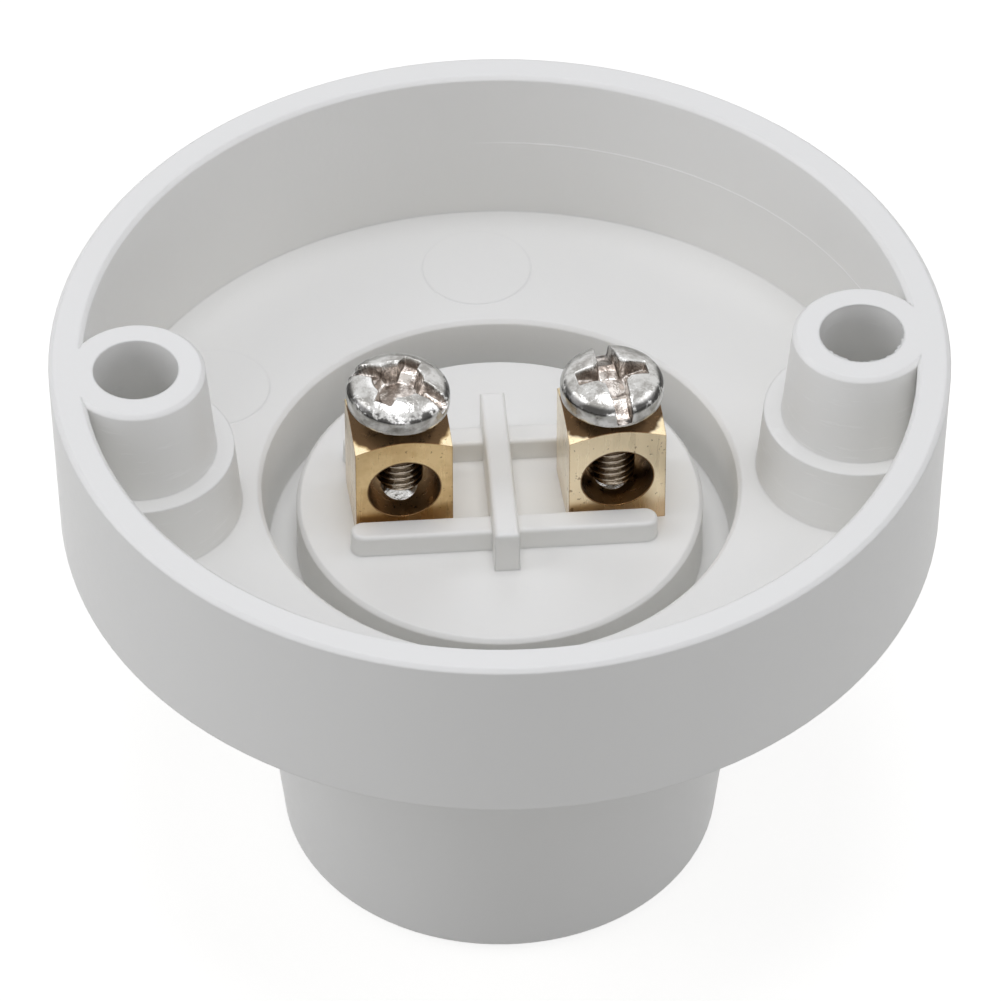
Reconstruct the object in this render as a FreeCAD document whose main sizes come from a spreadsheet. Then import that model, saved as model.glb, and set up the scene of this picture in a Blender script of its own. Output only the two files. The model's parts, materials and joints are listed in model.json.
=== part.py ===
import FreeCAD, Part
import math
import os

import Sketcher
from FreeCAD import Placement, Rotation, Vector

# Surface-mount Edison-screw lamp holder, in millimetres. It stands on the mouth of its skirt:
# z = 0 is the mouth, the lamp leaves downwards, and the rim at the top lies against the
# ceiling. X runs along the line of the two fixing holes.

SIZES = [
    # body moulding
    ("overall_height", 52.7),
    ("rim_radius", 37.5),
    ("rim_wall", 2.8),
    ("wall_draft", 0.4),
    ("dish_depth", 15.1),
    ("floor_thickness", 1.85),
    ("skirt_root_radius", 22.5),
    ("mouth_radius", 18.75),
    ("mouth_wall", 2.2),
    ("mouth_land", 9.0),
    ("cavity_radius", 15.4),
    ("web_thickness", 1.9),
    ("puck_radius", 17.2),
    ("puck_drop", 1.8),
    ("well_radius", 20.1),
    ("well_draft", 0.5),
    ("well_depth", 7.0),
    ("edge_break", 0.35),
    ("base_break", 0.6),
    ("mouth_round", 1.2),
    # fixing bosses
    ("fixing_spacing", 60.5),
    ("boss_top_radius", 5.8),
    ("boss_draft", 0.7),
    ("step_radius", 8.0),
    ("step_draft", 0.5),
    ("step_height", 6.3),
    ("rear_hole_radius", 3.55),
    ("shelf_thickness", 2.0),
    ("screw_hole_radius", 2.25),
    ("screw_recess_radius", 5.5),
    # ribs that keep the terminals apart and square
    ("rib_length", 17.6),
    ("rib_width", 2.1),
    ("rib_height", 4.1),
    ("bar_length", 25.8),
    ("bar_width", 2.15),
    ("bar_height", 2.1),
    ("front_bar_gap", 0.6),
    ("back_bar_gap", 1.15),
    # terminal blocks
    ("left_offset", 8.5),
    ("right_offset", 9.4),
    ("block_turn", 4.0),
    ("block_width", 8.2),
    ("block_depth", 7.0),
    ("block_height", 10.6),
    ("crown_radius", 2.6),
    ("crown_angle", 24.5),
    ("wire_hole_radius", 3.05),
    ("wire_hole_height", 4.9),
    ("spigot_radius", 2.9),
    ("seat_clearance", 0.05),
    # clamp screws
    ("clamp_radius", 2.0),
    ("clamp_length", 9.1),
    ("clamp_tip_break", 0.6),
    ("clamp_head_radius", 4.37),
    ("clamp_rim_height", 1.2),
    ("clamp_head_height", 2.8),
    ("slot_width", 1.2),
    ("slot_depth", 0.9),
    ("cross_width", 1.1),
    ("cross_span", 5.4),
    ("cross_depth", 1.9),
    ("left_head_gap", 1.5),
    ("right_head_gap", 0.85),
    ("left_slot_angle", -28.6),
    ("right_slot_angle", -80.1),
    # screw shell
    ("shell_bore_radius", 12.45),
    ("shell_gauge", 0.4),
    ("shell_length", 18.0),
    ("shell_lip", 0.7),
    ("shell_standoff", 4.6),
    ("shell_opening_radius", 8.6),
    ("driver_slot_width", 6.8),
    ("driver_slot_reach", 12.0),
    ("tab_width", 5.6),
    ("tab_length", 6.8),
    ("post_width", 3.0),
    ("post_reach", 10.0),
    # centre contact
    ("leaf_width", 4.6),
    ("leaf_gauge", 0.4),
    ("leaf_drop", 5.6),
    ("leaf_pad", 3.1),
    ("leaf_tip", 2.7),
    ("leaf_bend", 0.8),
    ("button_radius", 2.0),
    ("button_height", 0.9),
    ("rivet_radius", 1.0),
    ("rivet_head_radius", 1.5),
    ("rivet_head_height", 0.4),
    # screws and washers in the lamp side
    ("small_radius", 1.5),
    ("small_head_radius", 2.7),
    ("small_head_height", 1.9),
    ("small_slot_width", 0.8),
    ("small_slot_depth", 0.9),
    ("small_bite", 3.0),
    ("washer_radius", 2.7),
    ("washer_thickness", 0.6),
    ("washer_split", 0.7),
    ("thread_clearance", 0.05),
]

# Levels and radii that follow from the sizes.
RIM = "(sizes.overall_height)"
FLOOR = "(sizes.overall_height - sizes.dish_depth)"
UNDERSIDE = f"({FLOOR} - sizes.floor_thickness)"
PUCK = f"({FLOOR} - sizes.puck_drop)"
CEILING = f"({PUCK} - sizes.web_thickness)"
WELL_FOOT = f"({FLOOR} - sizes.well_depth)"
STEP = f"({FLOOR} + sizes.step_height)"
SHELF = f"({STEP} - sizes.shelf_thickness)"
SEAT = f"({CEILING} - sizes.shell_standoff)"
MOUTH_BORE = "(sizes.mouth_radius - sizes.mouth_wall)"
FIXING = "(sizes.fixing_spacing / 2)"
BLOCK_TOP = f"({PUCK} + sizes.block_height)"

doc = FreeCAD.newDocument("lamp_holder")


def make_sheet():
    sheet = doc.addObject("Spreadsheet::Sheet", "sizes")
    for row, (name, size) in enumerate(SIZES, start=1):
        sheet.set(f"A{row}", name)
        sheet.set(f"B{row}", str(size))
        sheet.setAlias(f"B{row}", name)
    doc.recompute()
    return sheet


sheet = make_sheet()


def size(expression):
    """The present value of an expression over the sheet."""
    found = sheet.evalExpression(str(expression))
    return float(getattr(found, "Value", found))


# Sketch and feature helpers

def new_body(name):
    return doc.addObject("PartDesign::Body", name)


def plane(body, role):
    return next(item for item in body.Origin.OriginFeatures if item.Role == role)


def new_sketch(body, name, role="XY_Plane", shift="0", lift="0"):
    """A sketch on one of the body's own planes, moved along its x axis and its normal."""
    sketch = body.newObject("Sketcher::SketchObject", name)
    sketch.AttachmentSupport = [(plane(body, role), "")]
    sketch.MapMode = "FlatFace"
    sketch.setExpression("AttachmentOffset.Base.x", shift)
    sketch.setExpression("AttachmentOffset.Base.z", lift)
    return sketch


def pin(sketch, shape_index, point, across, up):
    """Tie one point of a sketch to expressions for its coordinates."""
    for kind, axis, expression in (("DistanceX", -2, across), ("DistanceY", -1, up)):
        if expression == "0":
            sketch.addConstraint(Sketcher.Constraint("PointOnObject", shape_index, point, axis))
        else:
            rule = Sketcher.Constraint(kind, shape_index, point, size(expression))
            index = sketch.addConstraint(rule)
            sketch.setExpression(f"Constraints[{index}]", expression)


def draw_outline(sketch, corners):
    """A closed outline of straight lines through corners given as pairs of expressions."""
    first = sketch.GeometryCount
    spots = [Vector(size(across), size(up), 0) for across, up in corners]
    count = len(corners)
    for index in range(count):
        sketch.addGeometry(Part.LineSegment(spots[index], spots[(index + 1) % count]))
    for index in range(count):
        following = first + (index + 1) % count
        sketch.addConstraint(Sketcher.Constraint("Coincident", first + index, 2, following, 1))
    for index, (across, up) in enumerate(corners):
        pin(sketch, first + index, 1, across, up)
    return sketch


def draw_rectangle(sketch, half_width, half_height):
    low_x, low_y = f"-{half_width}", f"-{half_height}"
    corners = [(low_x, low_y), (half_width, low_y), (half_width, half_height), (low_x, half_height)]
    return draw_outline(sketch, corners)


def draw_circle(sketch, radius, across="0", up="0"):
    centre = Vector(size(across), size(up), 0)
    index = sketch.addGeometry(Part.Circle(centre, Vector(0, 0, 1), size(radius)))
    pin(sketch, index, 3, across, up)
    rule = sketch.addConstraint(Sketcher.Constraint("Radius", index, size(radius)))
    sketch.setExpression(f"Constraints[{rule}]", radius)
    return sketch


def draw_bar(sketch, half_length, half_width, up):
    """A straight bar with round ends, centred on the y axis at the height up."""
    run = f"({half_length} - {half_width})"
    x, y, radius = size(run), size(up), size(half_width)
    quarter = math.pi / 2
    sides = [(-x, y - radius, x, y - radius), (x, y + radius, -x, y + radius)]
    first = sketch.GeometryCount
    for x0, y0, x1, y1 in sides:
        sketch.addGeometry(Part.LineSegment(Vector(x0, y0, 0), Vector(x1, y1, 0)))
    for centre, start in ((x, -quarter), (-x, quarter)):
        ring = Part.Circle(Vector(centre, y, 0), Vector(0, 0, 1), radius)
        sketch.addGeometry(Part.ArcOfCircle(ring, start, start + 2 * quarter))
    joins = ((0, 2, 2, 1), (2, 2, 1, 1), (1, 2, 3, 1), (3, 2, 0, 1))
    for one, end, other, start in joins:
        rule = Sketcher.Constraint("Tangent", first + one, end, first + other, start)
        sketch.addConstraint(rule)
    for arc, across in ((first + 2, run), (first + 3, f"-{run}")):
        pin(sketch, arc, 3, across, up)
        rule = sketch.addConstraint(Sketcher.Constraint("Radius", arc, radius))
        sketch.setExpression(f"Constraints[{rule}]", half_width)
    return sketch


def sweep_round(body, name, sketch, cut=False, angle="360"):
    """Turn a sketch about its own vertical axis, as material or as a cut."""
    kind = "PartDesign::Groove" if cut else "PartDesign::Revolution"
    feature = body.newObject(kind, name)
    feature.Profile = sketch
    feature.ReferenceAxis = (sketch, ["V_Axis"])
    feature.setExpression("Angle", angle)
    return feature


def pad(body, name, sketch, length, downwards=False):
    feature = body.newObject("PartDesign::Pad", name)
    feature.Profile = sketch
    feature.Reversed = downwards
    feature.setExpression("Length", length)
    return feature


def pocket(body, name, sketch, length, upwards=False, both_ways=False):
    """Cut a sketch into the body, down from its plane unless upwards is set."""
    feature = body.newObject("PartDesign::Pocket", name)
    feature.Profile = sketch
    feature.Reversed = upwards
    feature.Midplane = both_ways
    feature.setExpression("Length", length)
    return feature


def round_edges(body, name, base, radius, wanted):
    """Fillet the edges of the base feature for which wanted(edge) holds."""
    doc.recompute()
    names = [f"Edge{i}" for i, edge in enumerate(base.Shape.Edges, start=1) if wanted(edge)]
    feature = body.newObject("PartDesign::Fillet", name)
    feature.Base = (base, names)
    feature.setExpression("Radius", radius)
    return feature


def put(body, across, up, turn="0", axis=(0, 0, 1)):
    """Place a body along the x axis and in height, turned about one of its own axes."""
    body.Placement = Placement(Vector(0, 0, 0), Rotation(Vector(*axis), 90))
    body.setExpression("Placement.Base.x", across)
    body.setExpression("Placement.Base.z", up)
    body.setExpression("Placement.Rotation.Angle", turn)


def lies_at(edge, level):
    """Whether a whole edge lies in the horizontal plane at a level."""
    box = edge.BoundBox
    return abs(box.ZMin - level) < 1e-4 and abs(box.ZMax - level) < 1e-4


def reach(edge):
    """The distance of an edge's middle from the z axis."""
    middle = edge.valueAt((edge.FirstParameter + edge.LastParameter) / 2)
    return math.hypot(middle.x, middle.y)


# Body: dish, skirt, bosses and ribs in one moulding

def turn_shape_of_body(body):
    soft = "sizes.edge_break"
    wall = "(sizes.rim_radius - sizes.rim_wall)"
    section = [
        ("0", CEILING),
        ("sizes.cavity_radius", CEILING),
        (MOUTH_BORE, "sizes.mouth_land"),
        (MOUTH_BORE, soft),
        (f"({MOUTH_BORE} + {soft})", "0"),
        ("sizes.mouth_radius", "0"),
        ("sizes.skirt_root_radius", UNDERSIDE),
        ("sizes.rim_radius - sizes.wall_draft - sizes.base_break", UNDERSIDE),
        ("sizes.rim_radius - sizes.wall_draft", f"({UNDERSIDE} + sizes.base_break)"),
        ("sizes.rim_radius", f"({RIM} - {soft})"),
        (f"sizes.rim_radius - {soft}", RIM),
        (f"({wall} + {soft})", RIM),
        (wall, f"({RIM} - {soft})"),
        (f"({wall} - sizes.wall_draft)", FLOOR),
        (f"(sizes.well_radius + {soft})", FLOOR),
        ("sizes.well_radius", f"({FLOOR} - {soft})"),
        ("sizes.well_radius - sizes.well_draft", WELL_FOOT),
        ("sizes.puck_radius", WELL_FOOT),
        ("sizes.puck_radius", f"({PUCK} - {soft})"),
        (f"(sizes.puck_radius - {soft})", PUCK),
        ("0", PUCK),
    ]
    sketch = draw_outline(new_sketch(body, "body_section", "XZ_Plane"), section)
    return sweep_round(body, "turned_body", sketch)


def add_bosses(body):
    """One stepped boss with its screw hole and head recess, mirrored to the other side."""
    outside = [
        ("0", UNDERSIDE),
        ("sizes.step_radius + sizes.step_draft", UNDERSIDE),
        ("sizes.step_radius + sizes.step_draft", FLOOR),
        ("sizes.step_radius", STEP),
        ("sizes.boss_top_radius + sizes.boss_draft", STEP),
        ("sizes.boss_top_radius", f"({RIM} - sizes.edge_break)"),
        ("sizes.boss_top_radius - sizes.edge_break", RIM),
        ("0", RIM),
    ]
    inside = [
        ("0", UNDERSIDE),
        ("sizes.screw_recess_radius", UNDERSIDE),
        ("sizes.screw_recess_radius", SHELF),
        ("sizes.screw_hole_radius", SHELF),
        ("sizes.screw_hole_radius", STEP),
        ("sizes.rear_hole_radius", STEP),
        ("sizes.rear_hole_radius", RIM),
        ("0", RIM),
    ]
    boss_sketch = draw_outline(new_sketch(body, "boss_section", "XZ_Plane", FIXING), outside)
    boss = sweep_round(body, "boss", boss_sketch)
    hole_sketch = draw_outline(new_sketch(body, "boss_hole_section", "XZ_Plane", FIXING), inside)
    hole = sweep_round(body, "boss_hole", hole_sketch, cut=True)
    both = body.newObject("PartDesign::Mirrored", "both_bosses")
    both.Originals = [boss, hole]
    both.MirrorPlane = (plane(body, "YZ_Plane"), [""])
    body.Tip = both
    return both


def trim_outside(body):
    """Turn off what the bosses leave outside the drafted wall of the dish."""
    far = "sizes.rim_radius + 2 * sizes.step_radius"
    waste = [
        ("sizes.rim_radius - sizes.wall_draft - sizes.base_break", UNDERSIDE),
        (far, UNDERSIDE),
        (far, RIM),
        ("sizes.rim_radius - sizes.edge_break", RIM),
        ("sizes.rim_radius", f"({RIM} - sizes.edge_break)"),
        ("sizes.rim_radius - sizes.wall_draft", f"({UNDERSIDE} + sizes.base_break)"),
    ]
    sketch = draw_outline(new_sketch(body, "waste_section", "XZ_Plane"), waste)
    return sweep_round(body, "trimmed_wall", sketch, cut=True)


def add_ribs(body):
    rib = draw_rectangle(new_sketch(body, "rib_plan", lift=PUCK), "(sizes.rib_width / 2)",
                         "(sizes.rib_length / 2)")
    pad(body, "rib", rib, "sizes.rib_height")
    reach_out = "(sizes.block_depth / 2 + sizes.bar_width / 2)"
    front, back = f"(-{reach_out} - sizes.front_bar_gap)", f"({reach_out} + sizes.back_bar_gap)"
    for name, up in (("front_bar", front), ("back_bar", back)):
        sketch = new_sketch(body, f"{name}_plan", lift=PUCK)
        draw_bar(sketch, "(sizes.bar_length / 2)", "(sizes.bar_width / 2)", up)
        bar = pad(body, name, sketch, "sizes.bar_height")
    return bar


def add_posts(body):
    """Four posts under the web, on which the base of the screw shell seats."""
    inner, outer = "sizes.post_reach", "(sizes.cavity_radius + sizes.mouth_wall / 2)"
    half = "(sizes.post_width / 2)"
    corners = [(inner, f"-{half}"), (outer, f"-{half}"), (outer, half), (inner, half)]
    sketch = draw_outline(new_sketch(body, "post_plan", lift=CEILING), corners)
    sketch.setExpression("AttachmentOffset.Rotation.Angle", "45")
    post = pad(body, "post", sketch, "sizes.shell_standoff", downwards=True)
    posts = body.newObject("PartDesign::PolarPattern", "posts")
    posts.Originals = [post]
    posts.Axis = (sketch, ["N_Axis"])
    posts.Angle = 360
    posts.Occurrences = 4
    body.Tip = posts
    return posts


def cut_spigot_holes(body):
    sketch = new_sketch(body, "spigot_plan", lift=PUCK)
    radius = "(sizes.spigot_radius + sizes.seat_clearance)"
    draw_circle(sketch, radius, "(-sizes.left_offset)")
    draw_circle(sketch, radius, "sizes.right_offset")
    return pocket(body, "spigot_holes", sketch, "sizes.web_thickness")


def round_body(body, base):
    """Round the mouth of the skirt and the tops of the ribs."""
    puck = size(PUCK)
    rib_top, bar_top = puck + size("sizes.rib_height"), puck + size("sizes.bar_height")

    def is_mouth_edge(item):
        return lies_at(item, 0) and abs(reach(item) - size("sizes.mouth_radius")) < 1e-3

    def is_rib(item):
        on_rib_side = item.BoundBox.XLength < 1e-4
        return lies_at(item, rib_top) or (lies_at(item, bar_top) and not on_rib_side)

    base = round_edges(body, "mouth_rounding", base, "sizes.mouth_round", is_mouth_edge)
    return round_edges(body, "rib_rounding", base, "sizes.edge_break", is_rib)


def make_body():
    body = new_body("body")
    turn_shape_of_body(body)
    add_bosses(body)
    trim_outside(body)
    add_ribs(body)
    add_posts(body)
    holes = cut_spigot_holes(body)
    round_body(body, holes)
    return body


# Terminals

def make_terminal(name, offset):
    """A square brass block turned to a low cone on top, with a spigot through the web."""
    block = new_body(name)
    plan = draw_rectangle(new_sketch(block, f"{name}_plan"), "(sizes.block_width / 2)",
                          "(sizes.block_depth / 2)")
    pad(block, f"{name}_bar", plan, "sizes.block_height")
    spigot = draw_circle(new_sketch(block, f"{name}_spigot_plan"), "sizes.spigot_radius")
    pad(block, f"{name}_spigot", spigot, "sizes.web_thickness", downwards=True)
    top, far = "sizes.block_height", "(sizes.block_width + sizes.block_depth)"
    drop = f"({top} - ({far} - sizes.crown_radius) * tan(sizes.crown_angle))"
    cone = [("sizes.crown_radius", top), (far, drop), (far, top)]
    crown = draw_outline(new_sketch(block, f"{name}_crown_section", "XZ_Plane"), cone)
    sweep_round(block, f"{name}_crown", crown, cut=True)
    tapped = draw_circle(new_sketch(block, f"{name}_clamp_plan", lift=top),
                         "(sizes.clamp_radius + sizes.thread_clearance)")
    pocket(block, f"{name}_clamp_hole", tapped, "sizes.block_height - sizes.wire_hole_height")
    wire = draw_circle(new_sketch(block, f"{name}_wire_plan", "XZ_Plane"),
                       "sizes.wire_hole_radius", "0", "sizes.wire_hole_height")
    pocket(block, f"{name}_wire_hole", wire, "2 * sizes.block_depth", both_ways=True)
    depth = "sizes.wire_hole_height + sizes.web_thickness"
    lower = draw_circle(new_sketch(block, f"{name}_fixing_plan", lift="-sizes.web_thickness"),
                        "(sizes.small_radius + sizes.thread_clearance)")
    pocket(block, f"{name}_fixing_hole", lower, depth, upwards=True)
    put(block, offset, PUCK, "sizes.block_turn")
    return block


def make_clamp_screw(name, offset, gap, slot_angle):
    """A domed screw with a cross recess and a slot; its head stands off the block."""
    screw = new_body(name)
    rim, top, radius = "sizes.clamp_rim_height", "sizes.clamp_head_height", "sizes.clamp_head_radius"
    sketch = new_sketch(screw, f"{name}_section", "XZ_Plane")
    tip, shank = "(-sizes.clamp_length)", "sizes.clamp_radius"
    outline = [("0", tip), (f"({shank} - sizes.clamp_tip_break)", tip),
               (shank, f"({tip} + sizes.clamp_tip_break)"), (shank, "0"), (radius, "0"), (radius, rim)]
    draw_dome(sketch, outline, top)
    sweep_round(screw, f"{name}_turned", sketch)
    slot = draw_rectangle(new_sketch(screw, f"{name}_slot_plan", lift=top), f"({radius} * 2)",
                          "(sizes.slot_width / 2)")
    pocket(screw, f"{name}_slot", slot, "sizes.slot_depth")
    half, span = "(sizes.cross_width / 2)", "(sizes.cross_span / 2)"
    corners = [(span, f"-{half}"), (span, half), (half, half), (half, span)]
    corners += [(f"-{half}", span), (f"-{half}", half), (f"-{span}", half), (f"-{span}", f"-{half}")]
    corners += [(f"-{half}", f"-{half}"), (f"-{half}", f"-{span}"), (half, f"-{span}"), (half, f"-{half}")]
    cross = draw_outline(new_sketch(screw, f"{name}_cross_plan", lift=top), corners)
    pocket(screw, f"{name}_cross", cross, "sizes.cross_depth")
    put(screw, offset, f"{BLOCK_TOP} + {gap}", slot_angle)
    return screw


def draw_dome(sketch, outline, top):
    """Close an open outline from the axis with an arc that is level where it meets the axis."""
    spots = [Vector(size(across), size(up), 0) for across, up in outline]
    for start, end in zip(spots, spots[1:]):
        sketch.addGeometry(Part.LineSegment(start, end))
    last, height = len(spots) - 2, size(top)
    edge = spots[-1]
    rise = height - edge.y
    radius = (edge.x ** 2 + rise ** 2) / (2 * rise)
    ring = Part.Circle(Vector(0, height - radius, 0), Vector(0, 0, 1), radius)
    start_angle = math.atan2(edge.y - (height - radius), edge.x)
    arc = sketch.addGeometry(Part.ArcOfCircle(ring, start_angle, math.pi / 2))
    axis = sketch.addGeometry(Part.LineSegment(Vector(0, height, 0), spots[0]))
    for index in range(last):
        sketch.addConstraint(Sketcher.Constraint("Coincident", index, 2, index + 1, 1))
    sketch.addConstraint(Sketcher.Constraint("Coincident", last, 2, arc, 1))
    sketch.addConstraint(Sketcher.Constraint("Coincident", arc, 2, axis, 1))
    sketch.addConstraint(Sketcher.Constraint("Coincident", axis, 2, 0, 1))
    sketch.addConstraint(Sketcher.Constraint("PointOnObject", arc, 3, -2))
    for index, (across, up) in enumerate(outline[:-1]):
        pin(sketch, index, 1, across, up)
    pin(sketch, last, 2, *outline[-1])
    pin(sketch, axis, 1, "0", top)
    return sketch


# Lamp side

def make_screw_shell():
    """Thin shell round the lamp's cap: lip, wall, open base with driver slot, and contact tab."""
    shell = new_body("screw_shell")
    inner, gauge = "sizes.shell_bore_radius", "sizes.shell_gauge"
    outer, foot = f"({inner} + {gauge})", f"({SEAT} - sizes.shell_length)"
    lip = f"({outer} + sizes.shell_lip)"
    section = [
        ("sizes.shell_opening_radius", SEAT),
        ("sizes.shell_opening_radius", f"({SEAT} - {gauge})"),
        (inner, f"({SEAT} - {gauge})"),
        (inner, foot),
        (lip, foot),
        (lip, f"({foot} + {gauge})"),
        (outer, f"({foot} + {gauge})"),
        (outer, SEAT),
    ]
    turned = draw_outline(new_sketch(shell, "shell_section", "XZ_Plane"), section)
    sweep_round(shell, "shell_turned", turned)
    slot = draw_rectangle(new_sketch(shell, "driver_slot_plan", lift=SEAT),
                          "sizes.driver_slot_reach", "(sizes.driver_slot_width / 2)")
    pocket(shell, "driver_slot", slot, f"1.5 * {gauge}")
    side = f"(-{outer})"
    inside, tip = f"({side} + {gauge})", f"({side} + sizes.tab_length)"
    strip = [
        (side, f"({SEAT} - {gauge})"),
        (inside, f"({SEAT} - {gauge})"),
        (inside, f"({CEILING} - {gauge})"),
        (tip, f"({CEILING} - {gauge})"),
        (tip, CEILING),
        (side, CEILING),
    ]
    tab = pad(shell, "tab", draw_outline(new_sketch(shell, "tab_section", "XZ_Plane"), strip),
              "sizes.tab_width")
    tab.Midplane = True
    hole = draw_circle(new_sketch(shell, "tab_hole_plan", lift=CEILING),
                       "(sizes.small_radius + 2 * sizes.thread_clearance)", "(-sizes.left_offset)")
    pocket(shell, "tab_hole", hole, f"1.5 * {gauge}")
    return shell


def make_contact_leaf():
    """Spring strip: clamped pad, sloping tongue and a level tip under the lamp's centre."""
    leaf = new_body("contact_leaf")
    gauge, right = "sizes.leaf_gauge", "sizes.right_offset"
    top, tip = CEILING, f"({CEILING} - sizes.leaf_drop)"
    end, knee = f"({right} + sizes.leaf_pad)", f"({right} - sizes.leaf_pad)"
    profile = [
        (end, top),
        (end, f"({top} - {gauge})"),
        (knee, f"({top} - {gauge})"),
        ("sizes.leaf_tip", f"({tip} - {gauge})"),
        ("(-sizes.leaf_tip)", f"({tip} - {gauge})"),
        ("(-sizes.leaf_tip)", tip),
        ("sizes.leaf_tip", tip),
        (knee, top),
    ]
    sketch = draw_outline(new_sketch(leaf, "leaf_section", "XZ_Plane"), profile)
    strip = pad(leaf, "leaf_strip", sketch, "sizes.leaf_width")
    strip.Midplane = True
    holes = new_sketch(leaf, "leaf_holes_plan", lift=CEILING)
    draw_circle(holes, "(sizes.small_radius + 2 * sizes.thread_clearance)", right)
    draw_circle(holes, "(sizes.rivet_radius + sizes.thread_clearance)")
    drilled = pocket(leaf, "leaf_holes", holes, "2 * sizes.leaf_drop")
    half = size("sizes.leaf_width") / 2

    def is_bend(edge):
        box = edge.BoundBox
        crosses = abs(box.YMin + half) < 1e-4 and abs(box.YMax - half) < 1e-4
        inside = box.XMin > 0 and box.XMax < size(end) - 1e-4
        return crosses and inside

    round_edges(leaf, "leaf_bends", drilled, "sizes.leaf_bend", is_bend)
    return leaf


def make_contact_button():
    """Riveted button that meets the lamp's centre contact."""
    button = new_body("contact_button")
    under = f"({CEILING} - sizes.leaf_drop - sizes.leaf_gauge - sizes.thread_clearance)"
    over = f"({CEILING} - sizes.leaf_drop + sizes.thread_clearance)"
    section = [
        ("0", f"({under} - sizes.button_height)"),
        ("(sizes.button_radius * 0.75)", f"({under} - sizes.button_height)"),
        ("sizes.button_radius", f"({under} - sizes.button_height / 2)"),
        ("sizes.button_radius", under),
        ("sizes.rivet_radius", under),
        ("sizes.rivet_radius", over),
        ("sizes.rivet_head_radius", over),
        ("sizes.rivet_head_radius", f"({over} + sizes.rivet_head_height / 2)"),
        ("sizes.rivet_radius", f"({over} + sizes.rivet_head_height)"),
        ("0", f"({over} + sizes.rivet_head_height)"),
    ]
    sketch = draw_outline(new_sketch(button, "button_section", "XZ_Plane"), section)
    sweep_round(button, "button_turned", sketch)
    return button


def make_small_screw(name, offset, clamped):
    """Slotted screw that pulls a contact and its washer up against the terminal's spigot."""
    screw = new_body(name)
    radius, height = "sizes.small_head_radius", "sizes.small_head_height"
    grip = f"(sizes.washer_thickness + {clamped} + sizes.small_bite)"
    sketch = new_sketch(screw, f"{name}_section", "XZ_Plane")
    outline = [("0", f"(-{grip})"), ("sizes.small_radius", f"(-{grip})"),
               ("sizes.small_radius", "0"), (radius, "0"), (radius, f"({height} * 0.8)"),
               (f"({radius} * 0.85)", height), ("0", height)]
    draw_outline(sketch, outline)
    sweep_round(screw, f"{name}_turned", sketch)
    slot = draw_rectangle(new_sketch(screw, f"{name}_slot_plan", lift=height), f"({radius} * 2)",
                          "(sizes.small_slot_width / 2)")
    pocket(screw, f"{name}_slot", slot, "sizes.small_slot_depth")
    put(screw, offset, f"{CEILING} - {clamped} - sizes.washer_thickness", "180", (1, 0, 0))
    return screw


def make_washer(name, offset, clamped):
    """Split spring washer, pressed flat."""
    washer = new_body(name)
    inner, outer = "(sizes.small_radius + 2 * sizes.thread_clearance)", "sizes.washer_radius"
    section = [(inner, "0"), (outer, "0"), (outer, "sizes.washer_thickness"),
               (inner, "sizes.washer_thickness")]
    sketch = draw_outline(new_sketch(washer, f"{name}_section", "XZ_Plane"), section)
    sweep_round(washer, f"{name}_ring", sketch)
    half = "(sizes.washer_split / 2)"
    corners = [("0", f"-{half}"), (f"({outer} * 2)", f"-{half}"), (f"({outer} * 2)", half), ("0", half)]
    split = draw_outline(new_sketch(washer, f"{name}_split_plan", lift="sizes.washer_thickness"), corners)
    pocket(washer, f"{name}_split", split, "sizes.washer_thickness")
    put(washer, offset, f"{CEILING} - {clamped} - sizes.washer_thickness", "50")
    return washer


def write_parts(parts):
    """Check the whole document and write each sub-part to a STEP file named after it."""
    doc.recompute()
    for item in doc.Objects:
        if "Invalid" in item.State or "Error" in item.State:
            raise RuntimeError(f"{item.Name} did not build: {item.State}")
    os.makedirs("parts", exist_ok=True)
    for part in parts:
        shape = part.Shape
        if shape.isNull() or not shape.isValid() or not shape.Solids:
            raise RuntimeError(f"{part.Label} has no valid solid")
        shape.exportStep(f"parts/{part.Label}.step")


write_parts([
    make_body(),
    make_terminal("terminal_left", "-sizes.left_offset"),
    make_terminal("terminal_right", "sizes.right_offset"),
    make_clamp_screw("clamp_screw_left", "-sizes.left_offset", "sizes.left_head_gap",
                     "sizes.left_slot_angle"),
    make_clamp_screw("clamp_screw_right", "sizes.right_offset", "sizes.right_head_gap",
                     "sizes.right_slot_angle"),
    make_screw_shell(),
    make_contact_leaf(),
    make_contact_button(),
    make_small_screw("shell_screw", "-sizes.left_offset", "sizes.shell_gauge"),
    make_small_screw("contact_screw", "sizes.right_offset", "sizes.leaf_gauge"),
    make_washer("shell_washer", "-sizes.left_offset", "sizes.shell_gauge"),
    make_washer("contact_washer", "sizes.right_offset", "sizes.leaf_gauge"),
])
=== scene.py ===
"""Dressed model of an Edison-screw lamp holder: finishes, threaded metal parts, floor, light and camera."""
import json
import math

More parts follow.
